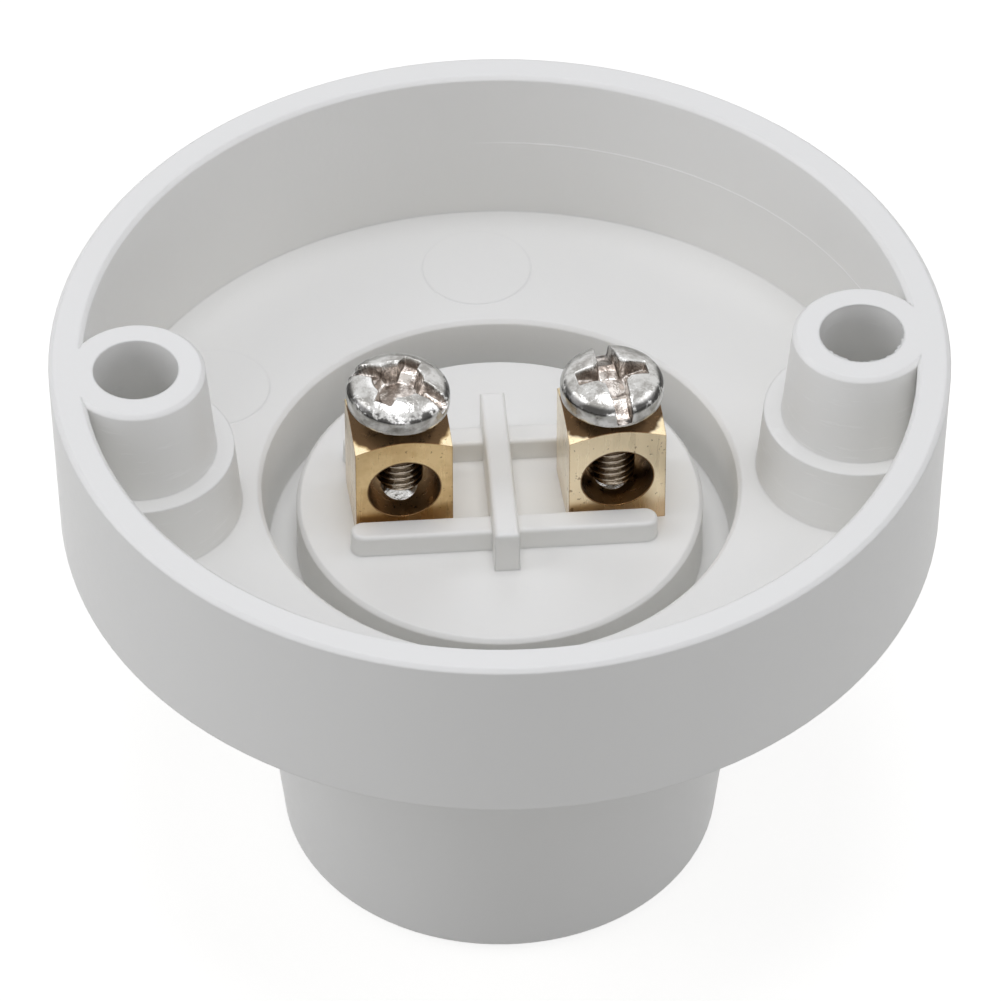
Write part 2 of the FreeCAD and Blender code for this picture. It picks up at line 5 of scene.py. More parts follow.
import bmesh
import bpy
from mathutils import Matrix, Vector


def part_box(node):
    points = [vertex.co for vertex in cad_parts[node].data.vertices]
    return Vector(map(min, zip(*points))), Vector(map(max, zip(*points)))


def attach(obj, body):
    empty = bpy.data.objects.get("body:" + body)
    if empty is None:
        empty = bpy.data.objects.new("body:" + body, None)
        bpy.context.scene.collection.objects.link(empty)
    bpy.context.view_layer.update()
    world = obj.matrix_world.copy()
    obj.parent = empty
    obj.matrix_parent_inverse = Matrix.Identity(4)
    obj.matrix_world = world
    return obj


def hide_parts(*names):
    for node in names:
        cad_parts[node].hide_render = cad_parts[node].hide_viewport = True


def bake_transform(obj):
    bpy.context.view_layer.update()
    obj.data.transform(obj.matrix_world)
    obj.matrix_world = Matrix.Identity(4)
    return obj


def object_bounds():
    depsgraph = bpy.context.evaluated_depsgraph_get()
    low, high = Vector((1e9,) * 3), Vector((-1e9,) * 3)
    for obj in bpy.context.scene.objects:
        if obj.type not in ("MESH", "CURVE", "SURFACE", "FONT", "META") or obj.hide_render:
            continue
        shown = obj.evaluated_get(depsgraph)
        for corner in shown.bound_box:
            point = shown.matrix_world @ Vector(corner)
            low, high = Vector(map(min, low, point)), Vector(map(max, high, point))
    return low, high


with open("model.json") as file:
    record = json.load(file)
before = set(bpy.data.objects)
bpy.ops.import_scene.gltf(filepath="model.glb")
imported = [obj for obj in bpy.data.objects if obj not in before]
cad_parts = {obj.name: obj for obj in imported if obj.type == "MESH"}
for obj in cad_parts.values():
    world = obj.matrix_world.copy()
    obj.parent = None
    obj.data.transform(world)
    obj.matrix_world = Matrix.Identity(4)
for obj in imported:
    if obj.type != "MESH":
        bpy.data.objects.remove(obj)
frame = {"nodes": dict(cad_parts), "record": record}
cad_low, cad_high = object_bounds()
nodes = frame["nodes"]
MM = 0.001

# Driving dimensions in metres, and the settings of the floor, the light and the camera
RIM = cad_high.z
TARGET = Vector((0, 0, RIM - 17.2 * MM))
CAMERA_DISTANCE = 0.6765
CAMERA_AZIMUTH = -4.25
CAMERA_ELEVATION = 43.94
LENS, SENSOR = 287.7, 36.0
BLOCK_TURN = math.radians(4.0)
FIXING_SPACING = 60.5 * MM
REAR_HOLE_RADIUS = 3.55 * MM
WIRE_LEVEL = RIM - 12.0 * MM
BAR_TOP = RIM - 15.6 * MM
FLOOR_LEVEL = RIM - 15.1 * MM
WITNESS_LEVEL = RIM - 7.3 * MM
EJECTOR_TURNS, EJECTOR_REACH, EJECTOR_RADIUS = (90, 150), 27 * MM, 4.7 * MM
WIRE_BORE_RADIUS = 3.05 * MM
LEAF_END_LENGTH = 6.2 * MM
STRIP_GAUGE = 0.4 * MM
SHARP_EDGE = math.radians(50)
FLOOR_SIZE = 2.5
FLOOR_GLOW = 0.8
WORLD_STRENGTH = 0.27
WORLD_COLOUR = (0.945, 0.952, 1.0, 1.0)
LAMP_DISTANCE, LAMP_SIZE = 0.85, 0.45
LAMP_COLOUR = (0.945, 0.955, 1.0)
# name, azimuth and elevation in degrees, power in watts
LAMPS = [
    ("top_lamp", 0, 90, 2.5),
    ("left_lamp", -90, 40, 1.25),
    ("low_left_lamp", -90, 15, 0.95),
    ("right_lamp", 90, 40, 0.85),
    ("low_right_lamp", 90, 15, 0.3),
    ("front_lamp", 0, 50, 0.5),
    ("low_front_lamp", 0, 12, 1.0),
    ("back_lamp", 180, 45, 0.3),
]


# Meshes

def make_object(name, vertices, faces):
    mesh = bpy.data.meshes.new(name)
    mesh.from_pydata([tuple(v) for v in vertices], [], faces)
    mesh.validate()
    mesh.update()
    mesh.polygons.foreach_set("use_smooth", [True] * len(mesh.polygons))
    made = bpy.data.objects.new(name, mesh)
    bpy.context.collection.objects.link(made)
    return made


def grid_faces(rows, columns):
    """Quads of a tube of rows of vertices; they face out if the rows run up and each runs anticlockwise."""
    faces = []
    for low in range(0, (rows - 1) * columns, columns):
        high = low + columns
        for column in range(columns):
            beside = (column + 1) % columns
            faces.append((low + column, low + beside, high + beside, high + column))
    return faces


def capped_faces(rows, columns):
    """A tube's quads and a cap at each end."""
    last = (rows - 1) * columns
    caps = [tuple(reversed(range(columns))), tuple(range(last, last + columns))]
    return grid_faces(rows, columns) + caps


def ring_faces(rows, columns):
    """A tube's quads and those that join its last row to its first."""
    last = (rows - 1) * columns
    joins = [(last + column, last + (column + 1) % columns, (column + 1) % columns, column)
             for column in range(columns)]
    return grid_faces(rows, columns) + joins


def flipped(faces):
    return [tuple(reversed(face)) for face in faces]


def prism(name, outline, low, high):
    """A closed upright prism on an outline of (x, y) points that runs anticlockwise."""
    vertices = [(x, y, z) for z in (low, high) for x, y in outline]
    return make_object(name, vertices, capped_faces(2, len(outline)))


def cut(piece, cutter):
    """Take the cutter's shape out of the piece for good, and drop the cutter."""
    change = piece.modifiers.new("cut", "BOOLEAN")
    change.operation, change.solver, change.object = "DIFFERENCE", "EXACT", cutter
    graph = bpy.context.evaluated_depsgraph_get()
    solid = bpy.data.meshes.new_from_object(piece.evaluated_get(graph))
    piece.modifiers.remove(change)
    piece.data = solid
    solid.set_sharp_from_angle(angle=SHARP_EDGE)
    bpy.data.objects.remove(cutter)


def middle_of(node):
    """The middle of a CAD node's box."""
    low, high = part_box(node)
    return (low + high) / 2


def turns_of(count):
    """Equal turns of a full circle, in radians."""
    return [2 * math.pi * step / count for step in range(count)]


def on_circle(away, turn, z):
    return (away * math.cos(turn), away * math.sin(turn), z)


def smooth_step(value, low, high):
    share = min(1.0, max(0.0, (value - low) / (high - low)))
    return share * share * (3 - 2 * share)


# Shaders

class Shader:
    """A material with a Principled surface, and short calls for the nodes that feed it."""

    def __init__(self, name):
        self.material = bpy.data.materials.new(name)
        self.material.use_nodes = True
        self.tree = self.material.node_tree
        self.surface = self.tree.nodes["Principled BSDF"]
        self.place = self.add("ShaderNodeTexCoord").outputs["Object"]
        split = self.add("ShaderNodeSeparateXYZ")
        self.feed(split.inputs[0], self.place)
        self.x, self.y, self.z = split.outputs

    def add(self, kind, **settings):
        node = self.tree.nodes.new(kind)
        for key, value in settings.items():
            setattr(node, key, value)
        return node

    def feed(self, socket, value):
        if isinstance(value, bpy.types.NodeSocket):
            self.tree.links.new(value, socket)
        else:
            socket.default_value = value

    def set(self, **values):
        for key, value in values.items():
            self.feed(self.surface.inputs[key.replace("_", " ")], value)

    def math(self, operation, first, second=0.0, third=0.0, clamp=False):
        node = self.add("ShaderNodeMath", operation=operation, use_clamp=clamp)
        for socket, value in zip(node.inputs, (first, second, third)):
            self.feed(socket, value)
        return node.outputs[0]

    def noise(self, scale, detail=3.0, roughness=0.55, stretch=None):
        place = self.place
        if stretch:
            mapping = self.add("ShaderNodeMapping")
            mapping.inputs["Scale"].default_value = stretch
            self.feed(mapping.inputs["Vector"], place)
            place = mapping.outputs[0]
        node = self.add("ShaderNodeTexNoise")
        self.feed(node.inputs["Vector"], place)
        node.inputs["Scale"].default_value = scale
        node.inputs["Detail"].default_value = detail
        node.inputs["Roughness"].default_value = roughness
        return node.outputs["Fac"]

    def ramp(self, value, *stops):
        """A value or colour that runs through the stops (position, grey or colour)."""
        node = self.add("ShaderNodeValToRGB")
        colours = node.color_ramp.elements
        while len(colours) < len(stops):
            colours.new(0.5)
        for element, (position, colour) in zip(colours, stops):
            element.position = position
            grey = (colour,) * 3 if isinstance(colour, (int, float)) else colour
            element.color = (*grey, 1.0)
        self.feed(node.inputs["Fac"], value)
        return node.outputs["Color"]

    def mix(self, share, first, second):
        node = self.add("ShaderNodeMix", data_type="RGBA")
        self.feed(node.inputs["Factor"], share)
        for socket, value in ((node.inputs[6], first), (node.inputs[7], second)):
            self.feed(socket, value if isinstance(value, bpy.types.NodeSocket) else (*value, 1.0))
        return node.outputs[2]

    def bump(self, *layers, rounding=0.0):
        """Layers of (height, depth in metres), the finest first, over edges rounded by a radius."""
        normal = None
        if rounding:
            soft = self.add("ShaderNodeBevel", samples=6)
            soft.inputs["Radius"].default_value = rounding
            normal = soft.outputs[0]
        for height, depth in layers:
            node = self.add("ShaderNodeBump")
            node.inputs["Strength"].default_value = 1.0
            node.inputs["Distance"].default_value = depth
            self.feed(node.inputs["Height"], height)
            if normal:
                self.feed(node.inputs["Normal"], normal)
            normal = node.outputs[0]
        self.set(Normal=normal)

    def length(self, across, along):
        """Length of the hypotenuse over two sides."""
        square = self.math("MULTIPLY_ADD", across, across, self.math("MULTIPLY", along, along))
        return self.math("SQRT", square)

    def plan_distance(self, centre):
        """Distance in plan from a point (x, y)."""
        return self.length(self.math("SUBTRACT", self.x, centre[0]), self.math("SUBTRACT", self.y, centre[1]))

    def ring(self, centre, radius, width):
        """1 on a thin vertical ring wall round a centre in plan, and 0 elsewhere."""
        away = self.math("ABSOLUTE", self.math("SUBTRACT", self.plan_distance(centre), radius))
        return self.math("SUBTRACT", 1.0, self.math("DIVIDE", away, width), clamp=True)

    def bore_distance(self, centre, turn):
        """Distance from a level line through a point (x, z), turned from the y axis."""
        aside = self.math("MULTIPLY", self.math("SUBTRACT", self.x, centre[0]), math.cos(turn))
        aside = self.math("MULTIPLY_ADD", self.y, math.sin(turn), aside)
        return self.length(aside, self.math("SUBTRACT", self.z, centre[1]))

    def near_level(self, level):
        """Distance up or down from a level."""
        return self.math("ABSOLUTE", self.math("SUBTRACT", self.z, level))

    def tint(self, share, strength, colour, over):
        """A colour laid over another by a share at a strength."""
        return self.mix(self.math("MULTIPLY", share, strength), over, colour)

    def between(self, value, low, high):
        """0 up to low, 1 from high on, and smooth between them; high may be the lower of the two."""
        node = self.add("ShaderNodeMapRange", interpolation_type="SMOOTHSTEP")
        for socket, number in zip(("From Min", "From Max"), sorted((low, high))):
            node.inputs[socket].default_value = number
        ends = (0, 1) if low < high else (1, 0)
        node.inputs["To Min"].default_value, node.inputs["To Max"].default_value = ends
        self.feed(node.inputs["Value"], value)
        return node.outputs["Result"]

    def edges(self, radius):
        """1 along sharp edges, fading out over a radius."""
        rounded = self.add("ShaderNodeBevel", samples=6)
        rounded.inputs["Radius"].default_value = radius
        product = self.add("ShaderNodeVectorMath", operation="DOT_PRODUCT")
        self.feed(product.inputs[0], rounded.outputs[0])
        self.feed(product.inputs[1], self.add("ShaderNodeNewGeometry").outputs["Normal"])
        return self.between(product.outputs["Value"], 0.995, 0.90)

    def layer(self, name):
        """A value that the piece's mesh carries on its vertices."""
        return self.add("ShaderNodeAttribute", attribute_name=name).outputs["Fac"]


def white_plastic():
    """Satin white thermoset with faint flow clouds, ejector marks with painted shade on their rings, and a witness
    line on the wall with a painted highlight.
    """
    shader = Shader("white_plastic")
    cloud = shader.noise(38, 2.0)
    grain = shader.noise(1400, 2.0, 0.5)
    fine = shader.noise(5200, 2.0, 0.5)
    colour = shader.mix(cloud, (0.795, 0.790, 0.764), (0.815, 0.810, 0.785))
    rings = []
    # Ejector marks: shallow rings, bumped below. Their darker grey is painted shade of the step, strongest on the
    # near side of each ring.
    for turn in EJECTOR_TURNS:
        angle = math.radians(turn)
        centre = (EJECTOR_REACH * math.cos(angle), EJECTOR_REACH * math.sin(angle))
        ring = shader.ring(centre, EJECTOR_RADIUS, 0.14 * MM)
        near_side_shade = shader.between(shader.y, centre[1] + 5 * MM, centre[1] - 3 * MM)
        rings.append(shader.math("MULTIPLY", ring, shader.math("MULTIPLY_ADD", near_side_shade, 0.8, 0.2)))
    floor = shader.math("LESS_THAN", shader.near_level(FLOOR_LEVEL), 0.2 * MM)
    marks = shader.math("MULTIPLY", shader.math("ADD", *rings), floor, clamp=True)
    colour = shader.tint(marks, 0.22, (0.55, 0.55, 0.56), over=colour)
    sides = (-FIXING_SPACING / 2, FIXING_SPACING / 2)
    bosses = shader.math("MINIMUM", *(shader.plan_distance((side, 0)) for side in sides))
    drag = shader.ramp(shader.noise(230, 3.0, 0.6, stretch=(1.0, 1.0, 9.0)), (0.60, 0.0), (0.68, 1.0))
    drag = shader.math("MULTIPLY", drag, shader.between(bosses, 9 * MM, 8 * MM))
    drag = shader.math("MULTIPLY", drag, shader.between(shader.z, RIM - 0.5 * MM, RIM - 1.5 * MM))
    colour = shader.tint(drag, 0.35, (0.90, 0.895, 0.88), over=colour)
    # Witness line: a hairline ridge on the inner wall, bumped below. Its paler colour is a painted highlight along
    # the ridge.
    away = shader.plan_distance((0, 0))
    line = shader.between(shader.near_level(WITNESS_LEVEL), 0.11 * MM, 0.04 * MM)
    for value, none, full in ((away, 32, 33), (away, 36.5, 36), (shader.x, -1, 6), (shader.y, 8, 12)):
        line = shader.math("MULTIPLY", line, shader.between(value, none * MM, full * MM))
    colour = shader.tint(line, 0.8, (0.97, 0.965, 0.955), over=colour)
    shader.set(Base_Color=colour, Roughness=shader.ramp(grain, (0.3, 0.36), (0.7, 0.46)))
    shader.surface.inputs["Specular IOR Level"].default_value = 0.45
    shader.surface.inputs["Subsurface Weight"].default_value = 0.06
    shader.surface.inputs["Subsurface Radius"].default_value = (1.0, 0.95, 0.9)
    shader.surface.inputs["Subsurface Scale"].default_value = 0.8 * MM
    shader.bump((fine, 0.004 * MM), (grain, 0.012 * MM), (marks, 0.04 * MM), (line, 0.02 * MM),
                (drag, 0.012 * MM), rounding=0.3 * MM)
    return shader.material


def turned_brass():
    """Free-cutting brass bar: drawn flats, pits, paler side faces as a painted reflection, a painted highlight on
    the cone's corners, a painted shadow round the screw's seat, painted shade towards the bar and bores darkened
    by painted shade.
    """
    shader = Shader("turned_brass")
    drawn = shader.noise(260, 4.0, 0.6, stretch=(6.0, 6.0, 0.5))
    stain_and_light_noise = shader.noise(420, 3.0, 0.6)
    pits = shader.noise(2300, 2.0, 0.5)
    stained = shader.ramp(stain_and_light_noise, (0.38, 0.0), (0.66, 1.0))
    colour = shader.mix(stained, (0.78, 0.58, 0.31), (0.62, 0.43, 0.21))
    paler = shader.between(shader.x, -2 * MM, 2 * MM)
    colour = shader.tint(paler, 0.8, (0.96, 0.83, 0.60), over=colour)
    # Painted shade: the blocks darken to red-brown towards the bar below them, where the gap above the bar lies in
    # shadow.
    foot_shade_painted = shader.between(shader.z, BAR_TOP + 1.6 * MM, BAR_TOP)
    colour = shader.tint(foot_shade_painted, 0.5, (0.46, 0.25, 0.10), over=colour)
    middles = [middle_of(block).x for block in ("terminal_left", "terminal_right")]
    seat = shader.math("MINIMUM", *(shader.plan_distance((middle, 0)) for middle in middles))
    wires = [(middle, WIRE_LEVEL) for middle in middles]
    wall = shader.math("MINIMUM", *(shader.bore_distance(wire, BLOCK_TURN) for wire in wires))
    facing = shader.add("ShaderNodeSeparateXYZ")
    shader.feed(facing.inputs[0], shader.add("ShaderNodeNewGeometry").outputs["True Normal"])
    upward = shader.math("GREATER_THAN", facing.outputs["Z"], 0.2)
    # Painted reflection: faces turned along x are paler, standing in for the white they reflect.
    side_faces_painted_pale = shader.math("GREATER_THAN", shader.math("ABSOLUTE", facing.outputs["X"]), 0.8)
    colour = shader.tint(side_faces_painted_pale, 0.65, (0.88, 0.82, 0.70), over=colour)
    ragged = shader.math("MULTIPLY_ADD", shader.math("SUBTRACT", stain_and_light_noise, 0.5), 1.6 * MM, seat)
    # Painted highlight: upward faces far from the screw, out at the cone's corners, turn a pale bright brass.
    cone_highlight_painted = shader.math("MULTIPLY", upward, shader.between(ragged, 4.5 * MM, 4.8 * MM))
    colour = shader.mix(cone_highlight_painted, colour, (0.90, 0.76, 0.50))
    # Painted shadow: upward faces close round the screw, under its head, turn almost black-brown.
    head_shadow_painted = shader.math("MULTIPLY", upward, shader.between(ragged, 4.75 * MM, 4.35 * MM))
    colour = shader.mix(head_shadow_painted, colour, (0.10, 0.06, 0.03))
    # Painted shade: inside the wire bores the brass turns dark brown, darkest from the middle of the bore up.
    bore_shade_painted = shader.between(wall, WIRE_BORE_RADIUS + 0.15 * MM, WIRE_BORE_RADIUS + 0.03 * MM)
    upper = shader.between(shader.z, WIRE_LEVEL - 3 * MM, WIRE_LEVEL)
    colour = shader.mix(bore_shade_painted, colour, shader.mix(upper, (0.30, 0.19, 0.09), (0.10, 0.06, 0.03)))
    spots = shader.ramp(pits, (0.67, 0.0), (0.72, 1.0))
    colour = shader.tint(spots, 0.6, (0.20, 0.11, 0.05), over=colour)
    colour = shader.tint(shader.edges(0.16 * MM), 0.75, (0.36, 0.19, 0.08), over=colour)
    shader.set(Base_Color=colour, Metallic=1.0, Roughness=shader.ramp(drawn, (0.3, 0.22), (0.7, 0.40)))
    shader.bump((pits, 0.008 * MM), (drawn, 0.03 * MM), rounding=0.12 * MM)
    return shader.material


def bright_nickel():
    """Bright nickel plate over a struck head: small dents, darker mottled hollows and a painted dark reflection on
    the shoulder.
    """
    shader = Shader("bright_nickel")
    dents = shader.noise(700, 4.0, 0.6)
    stain_and_light_noise = shader.noise(560, 4.0, 0.65)
    stained = shader.ramp(stain_and_light_noise, (0.44, 0.0), (0.60, 1.0))
    colour = shader.mix(stained, (0.64, 0.635, 0.62), (0.36, 0.35, 0.33))
    # Deep in the recess the plate turns a darker, mottled brown-grey.
    hollow = shader.ramp(dents, (0.42, (0.66, 0.615, 0.575)), (0.58, (0.22, 0.185, 0.16)))
    colour = shader.mix(shader.layer("hollow"), colour, hollow)
    # Painted reflection: near-black blotches on the shoulder stand in for the dark room it would reflect. The same
    # noise also mottles the plate's tone and, in the brass, shapes its painted highlight and shadow.
    shoulder_reflection_painted = shader.math("MULTIPLY", shader.layer("shoulder"), shader.ramp(stain_and_light_noise, (0.40, 0.0), (0.47, 1.0)))
    colour = shader.tint(shoulder_reflection_painted, 0.92, (0.05, 0.048, 0.046), over=colour)
    colour = shader.tint(shader.layer("shank"), 0.85, (0.33, 0.27, 0.20), over=colour)
    shader.set(Base_Color=colour, Metallic=1.0, Roughness=shader.ramp(dents, (0.35, 0.12), (0.7, 0.30)))
    shader.bump((dents, 0.11 * MM))
    return shader.material


def rolled_metal(name, first, second, low, high):
    """Plain rolled strip, with faint lines and tarnish."""
    shader = Shader(name)
    lines = shader.noise(900, 3.0, 0.6, stretch=(1.0, 1.0, 5.0))
    tarnish = shader.noise(180, 3.0, 0.6)
    shader.set(Base_Color=shader.mix(tarnish, first, second), Metallic=1.0,
               Roughness=shader.ramp(lines, (0.3, low), (0.7, high)))
    shader.bump((lines, 0.01 * MM))
    return shader.material


# Metal pieces

def struck_head(radius, top, slot_angle, slot_depth, throat_radius, lean):
    """A domed head with a driver slot through it and a cross recess, worn and struck a little out of true.

    It returns the vertices row by row from the middle out and down to the shank, the number in a row, how far each
    vertex lies in the recess and on the shoulder, and the level of the head's foot.
    """
    turn = math.radians(slot_angle)
    drop, skirt_height = 1.65 * MM, 1.15 * MM
    slot_half, slot_middle_depth = 0.68 * MM, 1.35 * MM
    recess_half, reach = 0.95 * MM, 3.0 * MM
    soft = 0.07 * MM

    def dome(away):
        return top - drop * (1 - math.sqrt(max(0.0, 1 - (away / radius) ** 2.5)))

    def surface(away, angle):
        u, v = away * math.cos(angle - turn), away * math.sin(angle - turn)
        height = dome(away)
        outward = smooth_step(abs(u), 1.6 * MM, 4.0 * MM)
        in_slot = 1 - smooth_step(abs(v), slot_half - soft, slot_half + soft)
        floor = top - (slot_middle_depth + (slot_depth - slot_middle_depth) * outward)
        height = min(height, height * (1 - in_slot) + floor * in_slot)
        for along, across in ((u, v), (v, u)):
            far = min(1.0, abs(along) / reach)
            half = recess_half - 0.22 * far * MM
            side = 1 - smooth_step(abs(across), half - soft, half + soft)
            end = 1 - smooth_step(abs(along), reach - 3 * soft, reach + soft)
            depth = (1.25 + 0.85 * (1 - far)) * MM
            height = min(height, height * (1 - side * end) + (top - depth) * side * end)
        throat = 1 - smooth_step(away, throat_radius - 0.7 * MM, throat_radius)
        return min(height, height * (1 - throat) + (top - 2.15 * MM) * throat)

    columns, rings = 320, 90
    vertices, hollow, shoulder = [], [], []
    for ring in range(rings + 1):
        away = max(0.02 * MM, radius * math.sin(math.pi / 2 * ring / rings))
        share = away / radius
        on_shoulder = smooth_step(share, 0.86, 0.93) * (1 - smooth_step(share, 0.985, 0.996))
        for turn_there in turns_of(columns):
            z = surface(away, turn_there)
            vertices.append(on_circle(away, turn_there, z))
            hollow.append(smooth_step(dome(away) - z, 0.25 * MM, 0.8 * MM))
            shoulder.append(on_shoulder)
    foot = top - drop - skirt_height
    for away, lift in ((radius, 0.5), (radius - 0.04 * MM, 0.2), (radius - 0.2 * MM, 0.0), (1.9 * MM, 0.0)):
        for turn_there in turns_of(columns):
            z = foot + lift * skirt_height
            if lift:
                z = min(z, surface(radius, turn_there) - 0.02 * MM / lift)
            vertices.append(on_circle(away, turn_there, z))
            hollow.append(0.0)
            shoulder.append(0.0)
    slope = math.tan(math.radians(lean))
    leant = [(x, y, z - x * slope) for x, y, z in vertices]
    return leant, columns, hollow, shoulder, foot


def threaded_shank(foot, top, around=64):
    """An M4 thread from its broken tip up to the head, row by row."""
    pitch, crest, root = 0.7 * MM, 2.02 * MM, 1.62 * MM
    rows_in_turn = 12
    rows = round((top - foot) / pitch * rows_in_turn)
    vertices = []
    for row in range(rows + 1):
        z = foot + (top - foot) * row / rows
        narrowing = 0.70 + 0.30 * smooth_step(z - foot, -0.1 * MM, 0.45 * MM)
        for turn in turns_of(around):
            tooth = 1 - abs(2 * ((z / pitch - turn / (2 * math.pi)) % 1.0) - 1)
            away = (crest - (crest - root) * smooth_step(tooth, 0.12, 0.88)) * narrowing
            vertices.append(on_circle(away, turn, z))
    return vertices, rows + 1, around


def clamp_screw(name, body, slot_angle, slot_depth, throat_radius, lean):
    """The terminal's screw with its struck head and its thread; stands for the plain CAD screw."""
    low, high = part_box(name)
    radius = (high.x - low.x) / 2 - 0.02 * MM
    head_top = high.z - 0.32 * MM if lean else high.z
    vertices, columns, hollow, shoulder, head_foot = struck_head(
        radius, head_top, slot_angle, slot_depth, throat_radius, lean)
    faces = flipped(capped_faces(len(vertices) // columns, columns))
    shank_start = len(vertices)
    thread, rows, around = threaded_shank(low.z, head_foot + 0.1 * MM)
    vertices += thread
    faces += [tuple(shank_start + index for index in face) for face in capped_faces(rows, around)]
    centre = Vector(((low.x + high.x) / 2, (low.y + high.y) / 2, 0))
    screw = make_object(f"struck_{name}", [Vector(v) + centre for v in vertices], faces)
    rest = [0.0] * len(thread)
    for layer, values in (("hollow", hollow + rest), ("shoulder", shoulder + rest),
                          ("shank", [0.0] * shank_start + [1.0] * len(thread))):
        screw.data.attributes.new(layer, "FLOAT", "POINT").data.foreach_set("value", values)
    screw.data.materials.append(finishes["plated_steel"])
    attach(screw, body)
    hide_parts(name)
    return screw


def threaded_shell():
    """Shell with its rolled thread, open base, driver slot and tab; stands for the plain CAD shell."""
    low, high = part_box("screw_shell")
    gauge, lip_radius, mouth_radius = STRIP_GAUGE, high.x, 8.6 * MM
    foot, seat = low.z, high.z - 4.6 * MM
    crest = lip_radius - 0.7 * MM - gauge
    pitch, depth = 3.629 * MM, 0.8 * MM
    wall_low, wall_high = foot + gauge, seat - 1.2 * MM
    around, rows = 144, 110

    def wave(z, angle, extra):
        fade = smooth_step(z, wall_low, wall_low + pitch / 2)
        fade *= 1 - smooth_step(z, wall_high - pitch / 2, wall_high)
        return crest + extra + fade * depth / 2 * (1 + math.cos(2 * math.pi * z / pitch - angle))

    levels = [wall_low + (wall_high - wall_low) * row / rows for row in range(rows + 1)]
    inner = [(lambda a: lip_radius, foot), (lambda a: crest + 0.15 * MM, foot),
             (lambda a: crest, foot + gauge / 2)]
    inner += [(lambda a, z=z: wave(z, a, 0), z) for z in levels]
    inner += [(lambda a: crest, seat - gauge), (lambda a: mouth_radius, seat - gauge)]
    outer = [(lambda a: mouth_radius, seat), (lambda a: crest + gauge - 0.3 * MM, seat),
             (lambda a: crest + gauge, seat - 0.3 * MM)]
    outer += [(lambda a, z=z: wave(z, a, gauge), z) for z in reversed(levels)]
    outer += [(lambda a: lip_radius, foot + gauge)]
    profile = inner + outer
    vertices = [on_circle(radius_at(turn), turn, z) for radius_at, z in profile for turn in turns_of(around)]
    shell = make_object("rolled_shell", vertices, flipped(ring_faces(len(profile), around)))
    reach, half = 12 * MM, 3.4 * MM
    slot = [(-reach, -half), (reach, -half), (reach, half), (-reach, half)]
    cut(shell, prism("slot", slot, seat - 1.5 * gauge, seat + gauge))
    shell.data.materials.append(finishes["shell_metal"])
    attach(shell, "base")
    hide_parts("screw_shell")
    tab = bent_strip(high.z, seat, crest + gauge, gauge)
    tab.parent = shell
    return shell


def bent_strip(top, seat, outside, gauge):
    """The shell's tab, bent up from its base and in over the terminal's spigot."""
    half, bend, reach = 2.8 * MM, 0.8 * MM, 6.8 * MM
    foot, arm = -outside + gauge / 2, top - gauge / 2
    path = [(foot, seat - gauge / 2)]
    for degrees in range(180, 89, -15):
        turn = math.radians(degrees)
        path.append((foot + bend + bend * math.cos(turn), arm - bend + bend * math.sin(turn)))
    path.append((-outside + reach, arm))
    vertices = []
    for index, (x, z) in enumerate(path):
        before, after = path[max(0, index - 1)], path[min(len(path) - 1, index + 1)]
        run = Vector((after[0] - before[0], after[1] - before[1])).normalized()
        side = Vector((-run.y, run.x)) * gauge / 2
        for y, sign in ((-half, 1), (half, 1), (half, -1), (-half, -1)):
            vertices.append((x + side.x * sign, y, z + side.y * sign))
    strip = make_object("shell_tab", vertices, flipped(capped_faces(len(path), 4)))
    middle, bore = middle_of("terminal_left").x, 1.6 * MM
    hole = [(middle + bore * math.cos(turn), bore * math.sin(turn)) for turn in turns_of(40)]
    cut(strip, prism("tab_hole", hole, top - 2 * gauge, top + gauge))
    strip.data.materials.append(finishes["shell_metal"])
    edge = strip.modifiers.new("edge", "BEVEL")
    edge.width, edge.segments = 0.06 * MM, 2
    return strip


def moulding_flash():
    """A thin ragged fin of flash round the mouth of the right fixing hole."""
    top, foot = RIM - 0.01 * MM, RIM - 0.07 * MM
    turns = turns_of(240)
    edge = []
    for turn in turns:
        wobble = sum(math.sin(turn * waves + waves * waves) for waves in (3, 7, 17, 29, 43)) / 5
        strong = smooth_step(-math.sin(turn - 0.4), -0.5, 0.6)
        edge.append(REAR_HOLE_RADIUS - (0.03 + 0.20 * strong * max(0.0, wobble + 0.25)) * MM)
    vertices = []
    for z, inner in ((top, False), (top, True), (foot, True), (foot, False)):
        for turn, inner_radius in zip(turns, edge):
            away = inner_radius if inner else REAR_HOLE_RADIUS + 0.02 * MM
            vertices.append((FIXING_SPACING / 2 + away * math.cos(turn), away * math.sin(turn), z))
    flash = make_object("moulding_flash", vertices, ring_faces(4, len(turns)))
    flash.data.set_sharp_from_angle(angle=SHARP_EDGE)
    flash.data.materials.append(finishes["white_plastic"])
    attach(flash, "base")
    return flash


